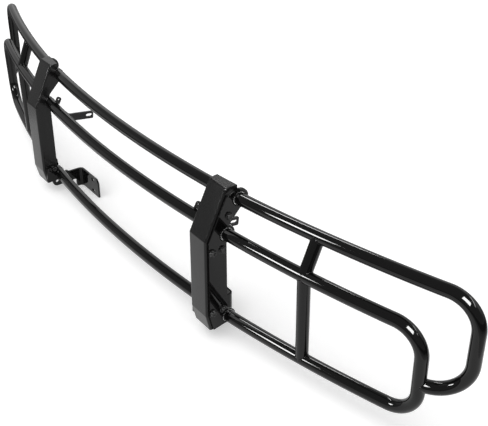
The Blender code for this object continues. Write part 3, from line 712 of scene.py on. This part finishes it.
def nut_shape(name, thread):
    """A hexagon nut with its seat at zero, standing up."""
    flats, tall = HEX_FLATS * thread, NUT_HEIGHT * thread
    corners, crown = flats * CORNER_REACH, CROWN * flats / 2
    bore, lead, edge = thread / 2 + TUBE_GAP, BORE_CHAMFER * thread, CHAMFER * thread
    rings = [(0.0, bore + lead), (0.0, crown), (edge, corners / 2, flats)]
    rings += [(tall - edge, corners / 2, flats), (tall, crown)]
    rings += [(tall, bore + lead), (tall - lead, bore), (lead, bore)]
    return turned(name, rings, closed=True)


print("a bolt head is", HEX_FLATS, "thread diameters across its flats")

# %% [markdown]
# Seats. The guard has fourteen bolts and as many nuts. Copies could be placed one by one, but a point
# for each seat is tidier: a small mesh holds the seats and the way each one faces, and Geometry Nodes
# put a copy on every point. Realize Instances then makes the copies plain mesh, which the export keeps.

# %% Put the fasteners on their seats
WING_THREAD, BRACKET_THREAD = 0.008, 0.006
OUTBOARD, INBOARD = 1.0, -1.0

seat_tree = new_tree("fasteners_on_seats")
SEAT_SHAPE_INPUT = seat_tree.interface.new_socket(
    "Shape", in_out="INPUT", socket_type="NodeSocketObject").identifier
SEAT_FINISH_INPUT = seat_tree.interface.new_socket(
    "Finish", in_out="INPUT", socket_type="NodeSocketMaterial").identifier
seat_in = seat_tree.nodes.new("NodeGroupInput")
seat_out = seat_tree.nodes.new("NodeGroupOutput")
seat_points = seat_tree.nodes.new("GeometryNodeMeshToPoints")
seat_shape = seat_tree.nodes.new("GeometryNodeObjectInfo")
seat_facing = seat_tree.nodes.new("GeometryNodeInputNamedAttribute")
seat_facing.data_type = "FLOAT_VECTOR"
seat_facing.inputs["Name"].default_value = "facing"
seat_turn = seat_tree.nodes.new("FunctionNodeAlignRotationToVector")
seat_turn.axis = "Z"
seat_copies = seat_tree.nodes.new("GeometryNodeInstanceOnPoints")
seat_real = seat_tree.nodes.new("GeometryNodeRealizeInstances")
seat_paint = seat_tree.nodes.new("GeometryNodeSetMaterial")
chain(seat_tree, [seat_in, seat_points, seat_copies, seat_real, seat_paint, seat_out])
seat_tree.links.new(seat_in.outputs["Shape"], seat_shape.inputs["Object"])
seat_tree.links.new(seat_shape.outputs["Geometry"], seat_copies.inputs["Instance"])
seat_tree.links.new(seat_facing.outputs["Attribute"], seat_turn.inputs["Vector"])
seat_tree.links.new(seat_turn.outputs["Rotation"], seat_copies.inputs["Rotation"])
seat_tree.links.new(seat_in.outputs["Finish"], seat_paint.inputs["Material"])


def on_seats(name, shape, seats):
    """Copies of a shape on seats, each a place and the way it faces."""
    mesh = bpy.data.meshes.new(name)
    mesh.from_pydata([place for place, facing in seats], [], [])
    attribute = mesh.attributes.new("facing", "FLOAT_VECTOR", "POINT")
    for slot, (place, facing) in zip(attribute.data, seats):
        slot.vector = facing
    item = bpy.data.objects.new(name, mesh)
    bpy.context.scene.collection.objects.link(item)
    nodes = item.modifiers.new("Seats", "NODES")
    nodes.node_group = seat_tree
    nodes[SEAT_SHAPE_INPUT] = shape
    nodes[SEAT_FINISH_INPUT] = black_zinc
    copies = baked(item)
    bpy.data.objects.remove(shape)
    return copies


def outward_end(node, outward):
    """The middle of a fastener's solid, and the x of the end that faces the way of its bolt's head."""
    low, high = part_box(node)
    middle = (low + high) / 2
    return middle, (low.x if outward < 0 else high.x)


def fasteners(stem, thread, head_side, rows):
    """All bolts and nuts of one kind: head_side says whether their heads face outboard or inboard."""
    bolts, nuts, bolt_nodes, nut_nodes = [], [], [], []
    head, grip = HEAD_HEIGHT * thread, 0.0
    for word, side in SIDES.items():
        facing = Vector((side * head_side, 0.0, 0.0))
        for row in rows:
            bolt_nodes.append(f"{stem}_bolt_{row}_{word}")
            nut_nodes.append(f"{stem}_nut_{row}_{word}")
            middle, crown_x = outward_end(bolt_nodes[-1], facing.x)
            low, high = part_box(bolt_nodes[-1])
            grip = high.x - low.x - head
            bolts.append((Vector((crown_x - facing.x * head, middle.y, middle.z)), facing))
            middle, seat_x = outward_end(nut_nodes[-1], facing.x)
            nuts.append((Vector((seat_x, middle.y, middle.z)), -facing))
    shape = bolt_shape(f"{stem}_bolt_shape", thread, grip)
    hand_over(f"{stem}_bolts", on_seats(f"{stem}_bolts", shape, bolts), "black_zinc", bolt_nodes)
    shape = nut_shape(f"{stem}_nut_shape", thread)
    hand_over(f"{stem}_nuts", on_seats(f"{stem}_nuts", shape, nuts), "black_zinc", nut_nodes)
    print(stem, "bolts:", len(bolts), "with", round(MILLIMETRES * grip, 1), "mm under the head")


fasteners("wing", WING_THREAD, OUTBOARD, ("low_front", "low_rear", "mid_front", "mid_rear", "top"))
fasteners("bracket", BRACKET_THREAD, INBOARD, ("front", "rear"))

# %% [markdown]
# Camera. The photograph looks down on the guard from its front right. A camera is turned by its
# azimuth, then tilted by its elevation, then rolled about its own line of sight.

# %% Camera
CAMERA_PLACE = GUARD_PLACE + Vector((1.6873, -0.8459, 1.1729))
CAMERA_AZIMUTH = math.radians(54.10)
CAMERA_ELEVATION = math.radians(30.98)
CAMERA_ROLL = math.radians(0.20)
CAMERA_LENS = 67.24
SENSOR_WIDTH = 36.0

camera = bpy.data.objects.new("camera", bpy.data.cameras.new("camera"))
camera.data.lens = CAMERA_LENS
camera.data.sensor_width = SENSOR_WIDTH
turn = Matrix.Rotation(CAMERA_AZIMUTH, 4, "Z")
tilt = Matrix.Rotation(math.pi / 2 - CAMERA_ELEVATION, 4, "X")
roll = Matrix.Rotation(CAMERA_ROLL, 4, "Z")
camera.matrix_world = Matrix.Translation(CAMERA_PLACE) @ turn @ tilt @ roll
bpy.context.scene.collection.objects.link(camera)
bpy.context.scene.camera = camera
print("camera at", tuple(round(value, 3) for value in CAMERA_PLACE), "with a lens of", CAMERA_LENS, "mm")

# %% [markdown]
# Floor. The guard stands on plain pale paper. More light would whiten the paper and wash the paint out
# too. So the floor glows a little, but only for rays that show it: it turns white and keeps its shadow.

# %% Floor
FLOOR_SIZE = 40.0
FLOOR_DROP = 0.001
FLOOR_SHADE = 0.94
FLOOR_ROUGHNESS = 0.9
FLOOR_GLOW = 0.29
WHITE = (1.0, 1.0, 1.0, 1.0)


def stage_card(name, verts, faces):
    """A card of flat faces that belongs to the studio."""
    mesh = bpy.data.meshes.new(name)
    mesh.from_pydata(verts, [], faces)
    card = bpy.data.objects.new(name, mesh)
    bpy.context.scene.collection.objects.link(card)
    return card


def seen_rays(tree):
    """One for rays that show a surface: from the camera, or by way of a reflection or clear plastic."""
    rays = tree.nodes.new("ShaderNodeLightPath").outputs
    seen = math_node(tree, "MAXIMUM", rays["Is Camera Ray"], rays["Is Glossy Ray"])
    return math_node(tree, "MAXIMUM", seen, rays["Is Transmission Ray"])


half = FLOOR_SIZE / 2
level = cad_box[0].z - FLOOR_DROP
floor = stage_card("floor", [(-half, -half, level), (half, -half, level), (half, half, level),
                             (-half, half, level)], [(0, 1, 2, 3)])
floor_paint = bpy.data.materials.new("floor_paint")
floor_paint.use_nodes = True
floor_shader = floor_paint.node_tree.nodes["Principled BSDF"]
floor_shader.inputs["Base Color"].default_value = (FLOOR_SHADE, FLOOR_SHADE, FLOOR_SHADE, 1.0)
floor_shader.inputs["Roughness"].default_value = FLOOR_ROUGHNESS
floor_shader.inputs["Specular IOR Level"].default_value = 0.0
floor_shader.inputs["Emission Color"].default_value = WHITE
floor_seen = seen_rays(floor_paint.node_tree)
floor_glow = math_node(floor_paint.node_tree, "MULTIPLY", floor_seen, FLOOR_GLOW)
floor_paint.node_tree.links.new(floor_glow, floor_shader.inputs["Emission Strength"])
floor.data.materials.append(floor_paint)
print("floor at", round(level, 3), "m")

# %% [markdown]
# Lamp and room. One broad lamp, high up and a little ahead of the guard, draws the soft shadow close
# under the tubes. The white room fills the rest. Its light on the guard is kept at a plain level, while
# rays that show the room itself see it as pure white.

# %% Lamp and room
ROOM_STRENGTH = 0.45
KEY_STRENGTH = 1.75
KEY_SPREAD = math.radians(72)
KEY_TILT = math.radians(26)
KEY_LEAN = math.radians(9)

key_lamp = bpy.data.lights.new("key", "SUN")
key_lamp.energy = KEY_STRENGTH
key_lamp.angle = KEY_SPREAD
key = bpy.data.objects.new("key", key_lamp)
bpy.context.scene.collection.objects.link(key)
key.rotation_euler = (KEY_TILT, KEY_LEAN, 0.0)
key.visible_glossy = False

world = bpy.data.worlds.new("room")
bpy.context.scene.world = world
world.use_nodes = True
room = world.node_tree
room_light = room.nodes["Background"]
room_light.inputs["Color"].default_value = WHITE
room_light.inputs["Strength"].default_value = ROOM_STRENGTH
room_white = room.nodes.new("ShaderNodeBackground")
room_white.inputs["Color"].default_value = WHITE
room_white.inputs["Strength"].default_value = 1.0
room_mix = room.nodes.new("ShaderNodeMixShader")
room.links.new(seen_rays(room), room_mix.inputs[0])
room.links.new(room_light.outputs[0], room_mix.inputs[1])
room.links.new(room_white.outputs[0], room_mix.inputs[2])
room.links.new(room_mix.outputs[0], room.nodes["World Output"].inputs["Surface"])
print("lamp strength", KEY_STRENGTH, "and room strength", ROOM_STRENGTH)

# %% [markdown]
# Reflections. Black gloss shows its surroundings more than its own colour, and in an all-white room it
# goes grey. So reflections see a room of their own, built from plain glowing cards that the camera and
# all other light pass by. First comes a dim room, then paler walls at the rear and on the left.

# %% Dim room and walls for reflections
BLACK = (0.0, 0.0, 0.0, 1.0)
CARD_LIFT = 0.002
DIM_X, DIM_FRONT, DIM_REAR, DIM_TOP = 4.5, -4.2, 3.5, 4.4
DIM_STRENGTH = 0.38
WALL_X, WALL_REAR = 4.45, 3.45
REAR_START, SIDE_SPLIT, SIDE_FRONT = 1.1, 0.2, -4.1
FOOT_TOP, REAR_TOP, SIDE_TOP = 1.3, 4.0, 2.6
REAR_PLAN = [(-WALL_X, REAR_START), (-WALL_X, WALL_REAR), (WALL_X, WALL_REAR)]
# Each wall has its plan, the heights of its foot and head, and its strength.
WALLS = {
    "rear_wall": (REAR_PLAN, FOOT_TOP, REAR_TOP, 1.22),
    "rear_foot": (REAR_PLAN, 0.0, FOOT_TOP, 0.55),
    "side_wall_rear": ([(-WALL_X, SIDE_SPLIT), (-WALL_X, REAR_START)], 0.0, SIDE_TOP, 0.85),
    "side_wall": ([(-WALL_X, SIDE_FRONT), (-WALL_X, SIDE_SPLIT)], 0.0, SIDE_TOP, 0.58),
}


def reflection_card(name, verts, faces, strength):
    """A card that only reflections see, glowing with this strength."""
    card = stage_card(name, verts, faces)
    material = bpy.data.materials.new(name)
    material.use_nodes = True
    shader = material.node_tree.nodes["Principled BSDF"]
    shader.inputs["Base Color"].default_value = BLACK
    shader.inputs["Specular IOR Level"].default_value = 0.0
    shader.inputs["Emission Color"].default_value = WHITE
    shader.inputs["Emission Strength"].default_value = strength
    card.data.materials.append(material)
    for ray in ("camera", "diffuse", "transmission", "volume_scatter", "shadow"):
        setattr(card, f"visible_{ray}", False)
    return card


base = level + CARD_LIFT
dim_verts = [(x, y, z) for z in (base, DIM_TOP) for x, y in (
    (-DIM_X, DIM_REAR), (-DIM_X, DIM_FRONT), (DIM_X, DIM_FRONT), (DIM_X, DIM_REAR))]
dim_faces = [(0, 1, 5, 4), (1, 2, 6, 5), (2, 3, 7, 6), (3, 0, 4, 7), (4, 5, 6, 7)]
reflection_card("dim_room", dim_verts, dim_faces, DIM_STRENGTH)
for name, (plan, foot, head, strength) in WALLS.items():
    count = len(plan)
    wall_verts = [(x, y, base + z) for z in (foot, head) for x, y in plan]
    wall_faces = [(step, step + 1, count + step + 1, count + step) for step in range(count - 1)]
    reflection_card(name, wall_verts, wall_faces, strength)
print("walls:", ", ".join(WALLS))

# %% [markdown]
# Light pool. The lower half of each tube reflects the floor. Reflections see the floor as a pool of
# light that dims away from the guard, which draws a dark band low on the wing tubes. A ring of card
# paints that light pool: its glow fades from bright to dim with the distance from the middle.

# %% Painted light pool on the floor, for reflections
# Where the painted light pool sits, how far it reaches, where it fades, and its bright and dim glow.
POOL_MIDDLE, POOL_REACH = Vector((0.2, 0.0, 0.0)), Vector((1.25, 1.35, 1.0))
POOL_FADE_START, POOL_FADE_END, FLOOR_END = 0.85, 1.3, 4.0
POOL_BRIGHT_STRENGTH, POOL_DIM_STRENGTH = 0.75, 0.10
POOL_SIDES = 48


def vector_node(tree, operation, first, second):
    """A Vector Math node fed by a socket and a fixed vector."""
    node = tree.nodes.new("ShaderNodeVectorMath")
    node.operation = operation
    tree.links.new(first, node.inputs[0])
    node.inputs[1].default_value = second
    return node


turns = [math.tau * step / POOL_SIDES for step in range(POOL_SIDES)]
pool_verts = [(POOL_MIDDLE.x + POOL_REACH.x * share * math.cos(turn),
                POOL_MIDDLE.y + POOL_REACH.y * share * math.sin(turn), base)
               for share in (POOL_FADE_START, FLOOR_END) for turn in turns]
pool_faces = []
for step in range(POOL_SIDES):
    following = (step + 1) % POOL_SIDES
    pool_faces.append((step, following, POOL_SIDES + following, POOL_SIDES + step))
# This card paints a pool of light for reflections: bright near the guard, dim further out.
bare_floor = reflection_card("bare_floor", pool_verts, pool_faces, POOL_DIM_STRENGTH)
pool_tree = bare_floor.data.materials[0].node_tree
pool_shader = pool_tree.nodes["Principled BSDF"]
pool_coords = pool_tree.nodes.new("ShaderNodeTexCoord")
pool_offset = vector_node(pool_tree, "SUBTRACT", pool_coords.outputs["Object"], POOL_MIDDLE)
pool_share = vector_node(pool_tree, "DIVIDE", pool_offset.outputs["Vector"], POOL_REACH)
pool_length = vector_node(pool_tree, "LENGTH", pool_share.outputs["Vector"], Vector())
# The painted light pool fades with the distance from its middle.
pool_fade = pool_tree.nodes.new("ShaderNodeMapRange")
for socket, value in (("From Min", POOL_FADE_START), ("From Max", POOL_FADE_END), ("To Min", POOL_BRIGHT_STRENGTH),
                      ("To Max", POOL_DIM_STRENGTH)):
    pool_fade.inputs[socket].default_value = value
pool_tree.links.new(pool_length.outputs["Value"], pool_fade.inputs["Value"])
pool_tree.links.new(pool_fade.outputs["Result"], pool_shader.inputs["Emission Strength"])
# Prints where the painted light pool fades.
print("paper fades to bare floor from", POOL_FADE_START, "to", POOL_FADE_END, "of its reach")

# %% [markdown]
# Softboxes. Four bright cards draw the white lines along the tubes and the white squares on the bends:
# one at the front left, a long one at the rear left, a broad one over the camera, and one behind for
# views of the back. Each is placed by the direction in which the wing sees it.

# %% Softboxes
SOFTBOX_DISTANCE = 3.0
WING_MIDDLE = Vector((0.62, -0.05, 0.25))
# Azimuth and elevation in degrees, width and height in metres, lean in degrees, then strength.
SOFTBOXES = {
    "front_softbox": (-26.4, 22.5, 0.55, 0.78, 0.0, 48.0),
    "rear_softbox": (-113.0, 46.5, 1.60, 0.20, 8.0, 26.0),
    "camera_softbox": (60.0, 42.5, 2.00, 1.05, 41.0, 46.0),
    "back_softbox": (138.0, 38.0, 2.60, 0.22, 0.0, 12.0),
}


def softbox_corners(azimuth, elevation, width, height, lean):
    """Corners of a softbox, seen from the wing: azimuth from straight ahead, leaning clockwise."""
    azimuth, elevation, lean = (math.radians(angle) for angle in (azimuth, elevation, lean))
    toward = Vector((math.cos(elevation) * math.sin(azimuth), -math.cos(elevation) * math.cos(azimuth),
                     math.sin(elevation)))
    right = toward.cross(Vector((0.0, 0.0, 1.0))).normalized()
    up = right.cross(toward)
    across = (right * math.cos(lean) - up * math.sin(lean)) * width / 2
    along = (up * math.cos(lean) + right * math.sin(lean)) * height / 2
    centre = WING_MIDDLE + toward * SOFTBOX_DISTANCE
    low, high = centre - along, centre + along
    return [low - across, low + across, high + across, high - across]


for name, (*place, strength) in SOFTBOXES.items():
    reflection_card(name, softbox_corners(*place), [(0, 1, 2, 3)], strength)
print("softboxes:", ", ".join(SOFTBOXES))

# %% [markdown]
# Picture settings. The standard view transform shows colours as they are set.

# %% Picture settings
bpy.context.scene.view_settings.view_transform = "Standard"
